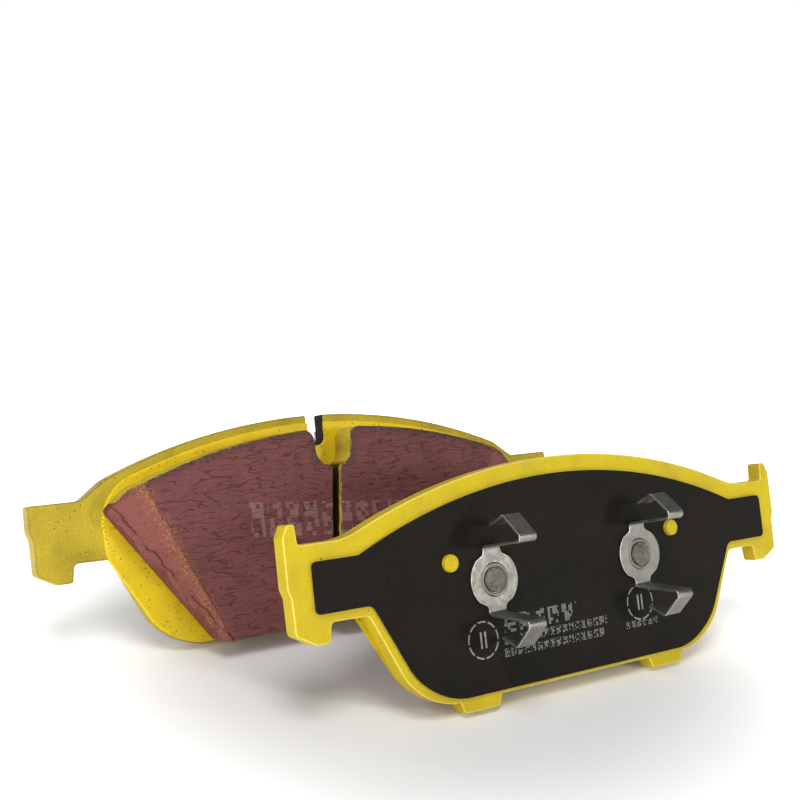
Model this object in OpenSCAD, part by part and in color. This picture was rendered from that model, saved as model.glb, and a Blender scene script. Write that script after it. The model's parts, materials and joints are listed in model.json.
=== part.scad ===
// Pair of disc brake pads for a two-piston floating caliper.
// The inner pad carries two riveted piston springs, the outer pad faces it
// across the thickness of the brake disc. Both lean back by the same angle and
// stand on one floor: the inner pad on two feet, the outer pad on its lower edge.
// Each pad is drawn upright in its own frame: X along the pad, Z up, Y through
// the thickness, with Y = 0 on the back face of the inner plate and on the
// lining side of the outer plate.

/* [Arrangement] */
// lean of both pads away from the viewer
lean_angle = 22.4; // [0:0.1:30]
// thickness of the brake disc that fits between the linings
disc_gap = 34; // [20:0.5:40]
// sideways offset of the outer pad
outer_side_shift = -49; // [-80:0.5:80]
// shift that centres the pair on the origin, along X
centre_x = 24.5; // [-60:0.1:60]
// shift that centres the pair on the origin, along Y
centre_y = -27.58; // [-60:0.01:60]

/* [Backing plates] */
// plate thickness
plate_thickness = 5.5; // [4:0.1:8]
// half of the overall width across the ears
half_width = 96.5; // [80:0.1:110]
// radius of the arched top edge
arch_radius = 190; // [120:1:260]
// height of the arched top edge above the pad axis
arch_top = 27.8; // [20:0.1:40]
// depth of the straight bottom edge below the pad axis
bottom_drop = 39.8; // [30:0.1:50]
// radius of the two lower corners
corner_radius = 20.5; // [10:0.5:24]
// top of the inner pad ears
inner_ear_top = 11.4; // [8:0.1:14]
// top of the outer pad ears
outer_ear_top = 7.7; // [6:0.1:12]
// underside of the ear arms
ear_bottom = 10.4; // [8:0.1:13]
// top of the small upper hooks on the inner pad
hook_top = 17.2; // [13:0.1:20]
// lowest point of the lower hooks
hook_bottom = 15.9; // [13:0.1:19]
// drop of the two feet below the bottom edge of the inner plate
foot_drop = 3.4; // [1:0.1:6]
// width of the notch in the top edge of the outer plate
notch_width = 6; // [3:0.1:10]
// depth of that notch
notch_depth = 10.2; // [5:0.1:16]

/* [Locating pips] */
// distance of each pip from the middle of the pad
pip_x = 44.4; // [30:0.1:60]
// height of the pips above the pad axis
pip_z = 0.3; // [-5:0.1:5]
// pip radius
pip_radius = 2.6; // [2:0.1:5]
// height of a pip above the plate
pip_height = 2.7; // [1:0.1:5]

/* [Linings] */
// lining and underlayer together
lining_thickness = 11; // [8:0.1:16]
// bonded underlayer, a thin land that covers the plate's body
underlayer_thickness = 1; // [0.5:0.1:4]
// top of the underlayer above the pad axis
underlayer_top = 25.4; // [20:0.1:27]
// top of the lining above the pad axis
lining_top = 22.8; // [15:0.1:27]
// radius of the lining's arched top
lining_radius = 185; // [120:1:260]
// bottom of the inner lining below the pad axis
inner_lining_drop = 38.2; // [30:0.1:39]
// bottom of the outer lining below the pad axis
outer_lining_drop = 39.2; // [30:0.1:39.6]
// slot between the two lining blocks
slot_width = 2.8; // [1:0.1:5]
// tilt of the slot
slot_tilt = 6.4; // [0:0.1:15]
// width of the rounded notch above the slot
lining_notch_width = 13.2; // [8:0.1:20]
// angle of the end chamfers
chamfer_angle = 20; // [10:1:35]

/* [Shims] */
// bonded shim, steel core and rubber face together
shim_thickness = 1; // [0.6:0.1:2]
// steel core of the shim
core_thickness = 0.6; // [0.3:0.1:1]
// half length of the shim across its arms
shim_half_width = 89.2; // [80:0.1:95]
// radius of the shim's arched top
shim_radius = 178; // [120:1:260]
// top of the shim above the pad axis
shim_top = 22.6; // [15:0.1:27]

/* [Piston springs] */
// distance of each spring from the middle of the pad
clip_x = 29.4; // [20:0.1:40]
// height of the spring centre above the pad axis
clip_z = -6.4; // [-12:0.1:5]
// outer radius of the spring's round seat
clip_ring_radius = 8.8; // [6:0.1:12]
// width of the spring strip
clip_width = 6.3; // [4:0.1:9]
// thickness of the spring strip
clip_thickness = 0.8; // [0.5:0.1:1.2]
// distance of the leg bends from the spring centre
clip_bend = 10; // [8:0.1:12]
// radius of the rolled leg root
clip_knuckle = 0.75; // [0.6:0.01:1.2]
// running clearance around the leg root
clip_clearance = 0.04; // [0.02:0.01:0.1]
// shank radius of the rivets
rivet_shank = 2.4; // [1.5:0.1:3.5]
// head radius of the rivets
rivet_head = 4; // [3:0.1:5]
// clearance of the rivet shanks
rivet_clearance = 0.05; // [0.02:0.01:0.1]

/* [Hidden] */

$fn = 96;
eps = 0.01;

// the outer plate's lining face sits one disc and two linings further on
pad_spacing = plate_thickness + 2 * lining_thickness + disc_gap;
// heights that bring the feet and the outer pad's lower edge to the floor
foot_reach = bottom_drop + foot_drop;
outer_lift = pad_spacing * tan(lean_angle) - foot_drop;
floor_lift = foot_reach * cos(lean_angle) + plate_thickness * sin(lean_angle);

shim_face = -shim_thickness;
clip_mid = shim_face - clip_thickness / 2;
bend_radius = 1.2;
axis_y = clip_mid - bend_radius - 0.3;

// ---- outline helpers -------------------------------------------------------

function unit(v) = v / norm(v);

// arc that rounds corner b between a and c with radius r
function corner(a, b, c, r, n = 6) =
  let (u = unit(a - b), v = unit(c - b),
       half = acos(max(-1, min(1, u * v))) / 2)
  r <= 0 || half > 89.5 ? [b] :
  let (d = r / tan(half),
       m = b + unit(u + v) * r / sin(half),
       p = b + u * d - m, q = b + v * d - m,
       a0 = atan2(p[1], p[0]),
       raw = atan2(q[1], q[0]) - a0,
       turn = raw > 180 ? raw - 360 : raw < -180 ? raw + 360 : raw)
  [for (i = [0:n]) m + r * [cos(a0 + turn * i / n), sin(a0 + turn * i / n)]];

// closed outline from [x, z, corner radius] rows
function rounded(rows, n = 6) =
  let (k = len(rows))
  [for (i = [0:k - 1])
    let (a = rows[(i + k - 1) % k], b = rows[i], c = rows[(i + 1) % k])
    each corner([a[0], a[1]], [b[0], b[1]], [c[0], c[1]], b[2],
                b[2] > 10 ? 4 * n : n)];

// right-hand rows followed by the same rows mirrored to the left
function both_sides(rows) =
  concat(rows, [for (i = [len(rows) - 1:-1:0]) [-rows[i][0], rows[i][1], rows[i][2]]]);

// polyline with its inner corners rounded
function eased(rows, n = 6) =
  [for (i = [0:len(rows) - 1])
    each (i == 0 || i == len(rows) - 1 ? [[rows[i][0], rows[i][1]]] :
      corner([rows[i - 1][0], rows[i - 1][1]], [rows[i][0], rows[i][1]],
             [rows[i + 1][0], rows[i + 1][1]], rows[i][2], n))];

// closed outline of a strip of thickness t along a polyline
function strip(line, t) =
  let (k = len(line),
       normals = [for (i = [0:k - 1])
         let (d0 = unit(line[max(i, 1)] - line[max(i, 1) - 1]),
              d1 = unit(line[min(i, k - 2) + 1] - line[min(i, k - 2)]),
              s = unit(d0 + d1))
         [-s[1], s[0]] / max(0.3, s * d0)])
  concat([for (i = [0:k - 1]) line[i] + normals[i] * t / 2],
         [for (i = [k - 1:-1:0]) line[i] - normals[i] * t / 2]);

// ---- placing and thickness -------------------------------------------------

module inner_place() {
  translate([centre_x, centre_y, floor_lift])
    rotate([-lean_angle, 0, 0]) children();
}

module outer_place() {
  inner_place()
    translate([outer_side_shift, pad_spacing, outer_lift]) children();
}

// flat outline in X and Z given thickness from y0 to y1
module slab(y0, y1) {
  translate([0, y1, 0]) rotate([90, 0, 0]) linear_extrude(y1 - y0) children();
}

// round bar along Y
module round_bar(x, z, r, y0, y1) {
  translate([x, y1, z]) rotate([90, 0, 0]) cylinder(r = r, h = y1 - y0);
}

// profile drawn in Y and Z given width along X
module across(width) {
  rotate([90, 0, 90]) linear_extrude(width, center = true) children();
}

// ---- backing plates --------------------------------------------------------

module arch(radius, top) {
  translate([0, top - radius]) circle(r = radius, $fn = 360);
}

// arched cap that rises out of the flat-topped outline below it
module arch_cap(radius, top, half_base, base) {
  intersection() {
    arch(radius, top);
    translate([-half_base, base]) square([2 * half_base, 60]);
  }
}

// lower hook, arm and lower corner shared by both plates
lower_rows = [
  [half_width, 0, 0.8],
  [half_width - 0.9, -2.7, 0.8],
  [half_width - 1.1, -hook_bottom + 3.3, 1.5],
  [half_width - 7.1, -hook_bottom, 1.5],
  [85, -hook_bottom, 0.8],
  [84.2, -ear_bottom, 1.5],
  [72.3, -ear_bottom - 0.2, 2],
  [57.9, -bottom_drop, corner_radius]
];

inner_rows = concat([
  [half_width - 4.3, inner_ear_top, 1],
  [half_width - 3.9, hook_top, 0.8],
  [half_width - 1.6, hook_top, 0.8],
  [half_width, hook_top - 3.4, 1]
], lower_rows, [
  [44.9, -bottom_drop, 0],
  [43.7, -foot_reach, 1.5],
  [31, -foot_reach, 1.5],
  [29.8, -bottom_drop, 0.8]
]);

outer_rows = concat([[half_width, outer_ear_top, 1]], lower_rows);

module inner_plate_outline() {
  union() {
    arch_cap(arch_radius, arch_top, 85, inner_ear_top - 3);
    polygon(rounded(both_sides(inner_rows)));
  }
}

// the outer plate's arch ends in two steeper shoulders
module outer_plate_outline() {
  difference() {
    union() {
      intersection() {
        arch(arch_radius, arch_top);
        polygon(rounded(both_sides([
          [60, 60, 0],
          [69, 16.2, 0],
          [83.33, outer_ear_top - 2, 0],
          [60, outer_ear_top - 4, 0]
        ])));
      }
      polygon(rounded(both_sides(outer_rows)));
    }
    top_notch();
  }
}

module top_notch() {
  translate([0, arch_top - notch_depth + notch_width / 2]) {
    circle(d = notch_width);
    translate([-notch_width / 2, 0]) square([notch_width, notch_depth]);
  }
}

module inner_backing_plate() {
  color([0.84, 0.74, 0.16]) inner_place() {
    difference() {
      slab(0, plate_thickness) inner_plate_outline();
      for (s = [-1, 1])
        round_bar(s * clip_x, clip_z, rivet_shank + rivet_clearance,
                  -1, plate_thickness + 1);
    }
    for (s = [-1, 1]) round_bar(s * pip_x, pip_z, pip_radius, -pip_height, 1);
  }
}

module outer_backing_plate() {
  color([0.84, 0.74, 0.16]) outer_place() {
    slab(0, plate_thickness) outer_plate_outline();
    for (s = [-1, 1])
      round_bar(s * pip_x, pip_z, pip_radius,
                plate_thickness - 1, plate_thickness + pip_height);
  }
}

// ---- linings ---------------------------------------------------------------

function lining_rows(drop) = [
  [69.2, 60, 0],
  [69.2, 9.4, 0],
  [75.2, 3.9, 1.5],
  [43.6, -drop, 2]
];

module lining_outline(drop) {
  intersection() {
    polygon(rounded(both_sides(lining_rows(drop))));
    arch(lining_radius, lining_top);
  }
}

land_rows = [
  [62, 60, 0],
  [62, 15.6, 0],
  [74.6, 10.5, 6],
  [74.2, -9.4, 4],
  [57.3, 0.5 - bottom_drop, 20]
];

// rounded notch above the slot
module lining_notch() {
  r = lining_notch_width / 2;
  translate([0, 11.4 + r]) {
    circle(r = r);
    translate([-r, 0]) square([2 * r, 30]);
  }
}

// everything on one side of the slanted slot, side -1 or 1
module slot_side(side) {
  translate([-0.5, 0]) rotate(-slot_tilt)
    translate([side > 0 ? slot_width / 2 : -200 - slot_width / 2, -100])
      square([200, 200]);
}

// wedge that bevels one end; the lining face lies at Y = 0 and the block in +Y
module end_chamfer(side, drop) {
  mirror([side > 0 ? 1 : 0, 0, 0])
    translate([-41.4, 0, -drop])
      rotate([0, -25, 0])
        rotate([0, 0, -chamfer_angle])
          translate([-60, -40, -20]) cube([60, 40, 120]);
}

// half of a lining with its face at Y = 0 and its root at +Y
module lining_block(side, notched, drop) {
  difference() {
    slab(0, lining_thickness - underlayer_thickness)
      difference() {
        intersection() {
          lining_outline(drop);
          slot_side(side);
        }
        if (notched) lining_notch();
      }
    end_chamfer(side, drop);
  }
}

module underlayer(notched) {
  slab(0, underlayer_thickness)
    difference() {
      intersection() {
        polygon(rounded(both_sides(land_rows)));
        arch(arch_radius - arch_top + underlayer_top, underlayer_top);
      }
      if (notched) top_notch();
    }
}

module inner_underlayer() {
  color([0.84, 0.74, 0.16]) inner_place()
    translate([0, plate_thickness, 0]) underlayer(false);
}

// the inner lining faces +Y, so its block is turned about Z
module inner_lining(side) {
  color([0.45, 0.25, 0.25]) inner_place()
    translate([0, plate_thickness + lining_thickness, 0])
      rotate([0, 0, 180]) lining_block(-side, false, inner_lining_drop);
}

module inner_friction_left() { inner_lining(-1); }
module inner_friction_right() { inner_lining(1); }

module outer_underlayer() {
  color([0.84, 0.74, 0.16]) outer_place()
    translate([0, -underlayer_thickness, 0]) underlayer(true);
}

module outer_lining(side) {
  color([0.45, 0.25, 0.25]) outer_place()
    translate([0, -lining_thickness, 0])
      lining_block(side, true, outer_lining_drop);
}

module outer_friction_left() { outer_lining(-1); }
module outer_friction_right() { outer_lining(1); }

// ---- shims -----------------------------------------------------------------

inner_shim_rows = [
  [shim_half_width, 6.5, 0.8],
  [shim_half_width, -7.8, 0.8],
  [71.3, -7.8, 2.5],
  [55.4, -bottom_drop + 1.1, 22]
];

outer_shim_rows = [
  [68, 60, 0],
  [68, -7.8, 3],
  [53, -bottom_drop + 1.1, 22]
];

module inner_shim_layer(y0, y1) {
  difference() {
    slab(y0, y1)
      union() {
        arch_cap(shim_radius, shim_top, 76, 5);
        polygon(rounded(both_sides(inner_shim_rows)));
      }
    for (s = [-1, 1]) {
      round_bar(s * pip_x, pip_z, pip_radius + 0.1, y0 - 1, y1 + 1);
      round_bar(s * clip_x, clip_z, rivet_shank + rivet_clearance, y0 - 1, y1 + 1);
    }
  }
}

module outer_shim_layer(y0, y1) {
  difference() {
    slab(y0, y1)
      difference() {
        intersection() {
          polygon(rounded(both_sides(outer_shim_rows)));
          arch(shim_radius, shim_top);
        }
        top_notch();
      }
    for (s = [-1, 1])
      round_bar(s * pip_x, pip_z, pip_radius + 0.1, y0 - 1, y1 + 1);
  }
}

module inner_shim_core() {
  color([0.6, 0.6, 0.58]) inner_place()
    inner_shim_layer(-core_thickness, 0);
}

module inner_shim_coating() {
  color([0.13, 0.12, 0.1]) inner_place()
    inner_shim_layer(-shim_thickness, -core_thickness);
}

module outer_shim_core() {
  color([0.6, 0.6, 0.58]) outer_place()
    outer_shim_layer(plate_thickness, plate_thickness + core_thickness);
}

module outer_shim_coating() {
  color([0.13, 0.12, 0.1]) outer_place()
    outer_shim_layer(plate_thickness + core_thickness,
                     plate_thickness + shim_thickness);
}

// ---- piston springs --------------------------------------------------------

// moves a spring drawn about its own centre to the left or right of the pad
module clip_place(side) {
  inner_place() translate([side * clip_x, 0, clip_z]) children();
}

// centre line of the bent neck, as [y, distance from the spring centre]
neck_line = concat([[clip_mid, 6.5]],
  [for (i = [0:10])
    let (a = 90 * i / 10)
    [clip_mid - bend_radius * (1 - cos(a)),
     clip_bend - bend_radius + bend_radius * sin(a)]],
  [[axis_y, clip_bend]]);

// centre line of a leg from its root: straight prong, outer bend, barb, tail
leg_line = eased([
  [axis_y, clip_bend, 0],
  [-21.2, clip_bend + 1.4, 1.1],
  [-12.7, clip_bend + 8.8, 1.3],
  [-6.4, clip_bend + 6.4, 0]
]);

module clip_ring() {
  difference() {
    union() {
      round_bar(0, 0, clip_ring_radius, shim_face - clip_thickness, shim_face);
      // pressed collar around the rivet
      round_bar(0, 0, 5.5, shim_face - clip_thickness - 0.35, shim_face - clip_thickness + eps);
      for (s = [0, 1]) mirror([0, 0, s]) {
        // shoulders that narrow the round seat into the neck
        slab(shim_face - clip_thickness, shim_face)
          polygon([[-6.2, 6.2], [6.2, 6.2],
                   [clip_width / 2, clip_bend - 1.2], [-clip_width / 2, clip_bend - 1.2]]);
        across(clip_width) polygon(strip(neck_line, clip_thickness));
      }
    }
    // seat of the rivet head inside the collar
    round_bar(0, 0, rivet_head + 0.35, shim_face - clip_thickness - 2,
              shim_face - clip_thickness);
    round_bar(0, 0, rivet_shank + rivet_clearance, -5, 1);
    // hollow ends that hold the rolled leg roots
    for (s = [-1, 1]) translate([-clip_width, axis_y, s * clip_bend])
      rotate([0, 90, 0])
        cylinder(r = clip_knuckle + clip_clearance, h = 2 * clip_width);
  }
}

module clip_leg(up) {
  mirror([0, 0, up ? 0 : 1]) {
    across(clip_width) polygon(strip(leg_line, clip_thickness));
    translate([-clip_width / 2, axis_y, clip_bend]) rotate([0, 90, 0])
      cylinder(r = clip_knuckle, h = clip_width);
  }
}

module clip_rivet() {
  round_bar(0, 0, rivet_shank, shim_face - clip_thickness - eps, plate_thickness);
  round_bar(0, 0, rivet_head, shim_face - clip_thickness - 1.1,
            shim_face - clip_thickness);
  round_bar(0, 0, rivet_head - 0.8, shim_face - clip_thickness - 1.5,
            shim_face - clip_thickness - 1.1 + eps);
}

module left_clip_ring() { color([0.64, 0.64, 0.58]) clip_place(-1) clip_ring(); }
module left_clip_upper_leg() { color([0.64, 0.64, 0.58]) clip_place(-1) clip_leg(true); }
module left_clip_lower_leg() { color([0.64, 0.64, 0.58]) clip_place(-1) clip_leg(false); }
module left_clip_rivet() { color([0.45, 0.43, 0.4]) clip_place(-1) clip_rivet(); }
module right_clip_ring() { color([0.64, 0.64, 0.58]) clip_place(1) clip_ring(); }
module right_clip_upper_leg() { color([0.64, 0.64, 0.58]) clip_place(1) clip_leg(true); }
module right_clip_lower_leg() { color([0.64, 0.64, 0.58]) clip_place(1) clip_leg(false); }
module right_clip_rivet() { color([0.45, 0.43, 0.4]) clip_place(1) clip_rivet(); }

// ---- selection -------------------------------------------------------------

inner_backing_plate();
inner_shim_core();
inner_shim_coating();
inner_underlayer();
inner_friction_left();
inner_friction_right();
left_clip_ring();
left_clip_upper_leg();
left_clip_lower_leg();
left_clip_rivet();
right_clip_ring();
right_clip_upper_leg();
right_clip_lower_leg();
right_clip_rivet();
outer_backing_plate();
outer_shim_core();
outer_shim_coating();
outer_underlayer();
outer_friction_left();
outer_friction_right();
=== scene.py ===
"""Finished looks of a pair of disc brake pads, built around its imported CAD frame."""

import json
import logging
import math
from dataclasses import dataclass
from enum import Enum
from functools import reduce
from typing import Sequence

import bmesh
import bpy
from mathutils import Matrix, Vector, noise


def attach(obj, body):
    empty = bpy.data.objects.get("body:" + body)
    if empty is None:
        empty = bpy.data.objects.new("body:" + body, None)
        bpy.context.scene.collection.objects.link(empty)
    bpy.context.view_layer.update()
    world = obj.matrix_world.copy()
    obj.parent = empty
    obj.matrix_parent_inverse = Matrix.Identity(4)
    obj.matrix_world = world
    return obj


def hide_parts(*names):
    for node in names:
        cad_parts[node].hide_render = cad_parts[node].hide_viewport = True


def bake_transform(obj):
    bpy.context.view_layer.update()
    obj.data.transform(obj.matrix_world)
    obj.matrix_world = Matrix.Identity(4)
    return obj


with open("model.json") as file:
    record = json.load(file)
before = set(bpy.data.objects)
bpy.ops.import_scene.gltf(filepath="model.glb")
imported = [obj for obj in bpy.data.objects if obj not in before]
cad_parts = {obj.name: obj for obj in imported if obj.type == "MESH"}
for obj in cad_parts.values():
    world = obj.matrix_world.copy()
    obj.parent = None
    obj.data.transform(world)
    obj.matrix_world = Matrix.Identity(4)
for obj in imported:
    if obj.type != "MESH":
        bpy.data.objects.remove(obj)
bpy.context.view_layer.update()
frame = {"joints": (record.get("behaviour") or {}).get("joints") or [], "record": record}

LOG = logging.getLogger("brake_pads")
MM = 0.001
Colour = tuple[float, float, float]
Socket = bpy.types.NodeSocket
Wire = Socket | float | Sequence[float]


class Slot(Enum):
    """Material slots of the record."""

    COATING = "plate_coating"
    LINING = "lining"
    UNDERLAYER = "underlayer"
    RUBBER = "shim_rubber"
    SHIM_STEEL = "shim_steel"
    SPRING = "spring_steel"
    RIVET = "rivet_steel"


class Side(Enum):
    """The two ends of a pad, seen from its piston side."""

    LEFT = -1
    RIGHT = 1

    @property
    def word(self) -> str:
        """Name of the side in piece names."""
        return self.name.lower()


class Leg(Enum):
    """The two legs of a piston spring."""

    UPPER = 1
    LOWER = -1

    @property
    def word(self) -> str:
        """Name of the leg in piece names."""
        return self.name.lower()


@dataclass(frozen=True)
class PadFrame:
    """Where a pad stands: X along the pad, Y through it, Z up its face."""

    origin: Vector
    lean: float

    def matrix(self) -> Matrix:
        """Takes pad millimetres to metres in the row frame."""
        return (Matrix.Translation(self.origin) @ Matrix.Rotation(-self.lean, 4, "X")
                @ Matrix.Scale(MM, 4))

    def point(self, x: float, y: float, z: float) -> Vector:
        """A pad point in the row frame."""
        return self.matrix() @ Vector((x, y, z))

    @classmethod
    def of(cls, pad: str, centre: Vector) -> "PadFrame":
        """Finds a pad from its two abutment mounts.

        Args:
            pad: "inner" or "outer".
            centre: middle of the two abutment faces in pad millimetres.

        Returns:
            The frame of that pad.
        """
        record = frame["record"]
        travel = next(j for j in frame["joints"] if j["name"] == "outer_pad_travel")
        lean = math.atan2(travel["axis"][2], -travel["axis"][1])
        ends = [Vector(m["pos_m"]) for m in record["mounts"]
                if m["name"] in (f"{pad}_left_abutment", f"{pad}_right_abutment")]
        turned = Matrix.Rotation(-lean, 4, "X") @ (centre * MM)
        return cls(origin=(ends[0] + ends[1]) / 2 - turned, lean=lean)


# ---- outlines and blanks -----------------------------------------------------


@dataclass(frozen=True)
class Corner:
    """A corner of an outline with the radius that rounds it."""

    x: float
    z: float
    r: float = 0.0

    def mirrored(self) -> "Corner":
        """The same corner on the other side of the pad."""
        return Corner(-self.x, self.z, self.r)


@dataclass(frozen=True)
class Arch:
    """A stretch of an arched top from left to right, or a turn about the origin."""

    radius: float
    top: float
    start: float
    end: float
    steps: int = 72
    turn: float | None = None


def both_sides(right: Sequence[Corner]) -> list[Corner]:
    """Right-hand corners from top to bottom, then the same on the left going up."""
    return list(right) + [corner.mirrored() for corner in reversed(right)]


def height_on(radius: float, top: float, x: float) -> float:
    """Height at x of an arched top with this radius and crown."""
    return top - radius + math.sqrt(radius * radius - x * x)


class Blank:
    """A piece in the making, in pad millimetres."""

    STRAIGHT_HALF = math.radians(89.3)  # half angle past which a corner is straight
    SIDE_SHARE = 0.985  # most of a side that a rounded corner may use
    RIM_ANGLE = 0.6  # least angle of a rim that is softened, in radians
    WELD = 1e-4  # distance under which vertices are merged
    GRID_SHIFT = 0.43  # keeps the grid's cuts off the piece's own edges

    def __init__(self) -> None:
        """Starts an empty mesh."""
        self.bm = bmesh.new()

    def run(self, start: Vector, centre: Vector, angle: float,
            steps: int) -> list[bmesh.types.BMVert]:
        """Spins one vertex into a run of vertices about Y.

        Args:
            start: first point of the run.
            centre: centre of the turn.
            angle: angle of the turn, clockwise as seen from the front.
            steps: number of segments.

        Returns:
            The run's vertices in order.
        """
        first = len(self.bm.verts)
        seed = self.bm.verts.new(start)
        bmesh.ops.spin(self.bm, geom=[seed], cent=centre, axis=(0, 1, 0), dvec=(0, 0, 0),
                       angle=angle, steps=steps, use_merge=False, use_duplicate=False)
        self.bm.verts.ensure_lookup_table()
        return list(self.bm.verts)[first:]

    def arch(self, part: Arch) -> list[bmesh.types.BMVert]:
        """Lays the vertices of an arched top or of a turn round a circle.

        Args:
            part: the stretch to lay.

        Returns:
            Its vertices in order.
        """
        if part.turn is not None:
            start = part.radius * Vector((math.sin(part.start), 0, math.cos(part.start)))
            return self.run(start, Vector(), part.turn, part.steps)
        a0, a1 = (math.asin(x / part.radius) for x in (part.start, part.end))
        middle = Vector((0, 0, part.top - part.radius))
        start = middle + part.radius * Vector((math.sin(a0), 0, math.cos(a0)))
        return self.run(start, middle, a1 - a0, part.steps)

    def outline(self, trace: Sequence[Corner | Arch], y: float = 0.0) -> bmesh.types.BMFace:
        """Makes a flat face from a clockwise trace and rounds its corners.

        Args:
            trace: corners and arched stretches in order.
            y: depth of the face.

        Returns:
            The face.
        """
        around: list[bmesh.types.BMVert] = []
        rounds: list[tuple[bmesh.types.BMVert, float]] = []
        known = set(self.bm.faces)
        for part in trace:
            if isinstance(part, Arch):
                around += self.arch(part)
                continue
            vert = self.bm.verts.new((part.x, 0, part.z))
            around.append(vert)
            if part.r > 0:
                rounds.append((vert, part.r))
        self.bm.faces.new(around)
        for vert, radius in rounds:
            self.round_corner(vert, radius)
        face = next(f for f in self.bm.faces if f not in known)
        bmesh.ops.translate(self.bm, vec=(0, y, 0), verts=list(face.verts))
        return face

    def round_corner(self, vert: bmesh.types.BMVert, radius: float) -> None:
        """Rounds one corner of a flat face with a vertex bevel.

        Args:
            vert: the corner.
            radius: radius to give it, which a short side may cut down.
        """
        ends = [edge.other_vert(vert).co for edge in vert.link_edges]
        u, v = ((end - vert.co).normalized() for end in ends)
        half = u.angle(v) / 2
        if half > self.STRAIGHT_HALF:
            return
        reach = min((end - vert.co).length for end in ends) * self.SIDE_SHARE
        segments = 24 if radius > 10 else 8 if radius > 2.5 else 5
        bmesh.ops.bevel(self.bm, geom=[vert], offset=min(radius / math.tan(half), reach),
                        offset_type="OFFSET", segments=segments, profile=0.5,
                        affect="VERTICES", material=-1)

    def thicken(self, face: bmesh.types.BMFace, depth: float) -> None:
        """Extrudes a flat face along Y into a closed plate.

        Args:
            face: face to extrude.
            depth: thickness of the plate, with its sign along Y.
        """
        made = bmesh.ops.extrude_face_region(self.bm, geom=[face])
        verts = [g for g in made["geom"] if isinstance(g, bmesh.types.BMVert)]
        bmesh.ops.translate(self.bm, vec=(0, depth, 0), verts=verts)
        bmesh.ops.recalc_face_normals(self.bm, faces=self.bm.faces)

    def soften(self, y: float, size: float, segments: int = 3, slot: int = 0) -> None:
        """Bevels the sharp rim at one depth.

        Args:
            y: depth of the rim.
            size: width of the bevel.
            segments: faces across the bevel.
            slot: material slot of the bevel.
        """
        rim = [edge for edge in self.bm.edges
               if all(abs(vert.co.y - y) < 1e-3 for vert in edge.verts)
               and edge.calc_face_angle(0.0) > self.RIM_ANGLE]
        made = bmesh.ops.bevel(self.bm, geom=rim, offset=size, offset_type="OFFSET",
                               segments=segments, profile=0.5, affect="EDGES",
                               clamp_overlap=True, material=-1)
        for face in made["faces"]:
            face.material_index = slot

    def slab(self, trace: Sequence[Corner | Arch], y0: float, y1: float,
             rim: float = 0.0, segments: int = 3, slot: int = 0) -> None:
        """Makes a plate between two depths with softened rims.

        Args:
            trace: clockwise outline.
            y0: depth of its first face.
            y1: depth of its second face.
            rim: width of the bevel round both faces, or 0 for none.
            segments: faces across the bevel.
            slot: material slot of the bevel.
        """
        self.thicken(self.outline(trace, y0), y1 - y0)
        if rim > 0:
            self.soften(y0, rim, segments, slot)
            self.soften(y1, rim, segments, slot)

    def turned(self, profile: Sequence[tuple[float, float]], x: float, z: float,
               steps: int) -> None:
        """Spins a radius and depth profile about Y into a round part.

        Args:
            profile: (radius, y) points.
            x: centre of the part.
            z: centre of the part.
            steps: segments round the part.
        """
        known = set(self.bm.verts)
        chain = [self.bm.verts.new((x + r, y, z)) for r, y in profile]
        edges = [self.bm.edges.new(pair) for pair in zip(chain, chain[1:])]
        bmesh.ops.spin(self.bm, geom=chain + edges, cent=(x, 0, z), axis=(0, 1, 0),
                       dvec=(0, 0, 0), angle=math.tau, steps=steps, use_merge=True,
                       use_duplicate=False)
        fresh = [vert for vert in self.bm.verts if vert not in known]
        bmesh.ops.remove_doubles(self.bm, verts=fresh, dist=self.WELD)
        bmesh.ops.recalc_face_normals(self.bm, faces=self.bm.faces)

    def slice_grid(self, step: float) -> None:
        """Cuts every face along even planes, so the surface can be roughened.

        Args:
            step: widest distance between two planes.
        """
        low = [min(v.co[i] for v in self.bm.verts) for i in range(3)]
        high = [max(v.co[i] for v in self.bm.verts) for i in range(3)]
        for axis in range(3):
            place, normal = Vector(), Vector()
            normal[axis] = 1
            count = int((high[axis] - low[axis]) / step)
            for i in range(1, count + 1):
                span = high[axis] - low[axis]
                place[axis] = low[axis] + (i - self.GRID_SHIFT) * span / count
                bmesh.ops.bisect_plane(
                    self.bm, geom=self.bm.verts[:] + self.bm.edges[:] + self.bm.faces[:],
                    dist=1e-5, plane_co=place, plane_no=normal)

    def piece(self, name: str, place: PadFrame, finishes: Sequence[bpy.types.Material],
              crisp: float = 32.0, weighted: bool = True) -> bpy.types.Object:
        """Turns the blank into an object in the row frame.

        Args:
            name: name of the piece.
            place: frame of the pad it belongs to.
            finishes: materials in slot order.
            crisp: edges sharper than this angle in degrees stay crisp.
            weighted: whether large flat faces keep their own shading.

        Returns:
            The new object.
        """
        bmesh.ops.transform(self.bm, matrix=place.matrix(), verts=self.bm.verts)
        bmesh.ops.recalc_face_normals(self.bm, faces=self.bm.faces)
        for face in self.bm.faces:
            face.smooth = True
        for edge in self.bm.edges:
            edge.smooth = edge.calc_face_angle(0.0) < math.radians(crisp)
        mesh = bpy.data.meshes.new(name)
        self.bm.to_mesh(mesh)
        self.bm.free()
        for finish in finishes:
            mesh.materials.append(finish)
        made = bpy.data.objects.new(name, mesh)
        bpy.context.scene.collection.objects.link(made)
        if weighted:
            shading = made.modifiers.new("flat_faces", "WEIGHTED_NORMAL")
            shading.keep_sharp = True
        LOG.info("%s: %d faces", name, len(mesh.polygons))
        return made


# ---- shader wiring -----------------------------------------------------------


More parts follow.
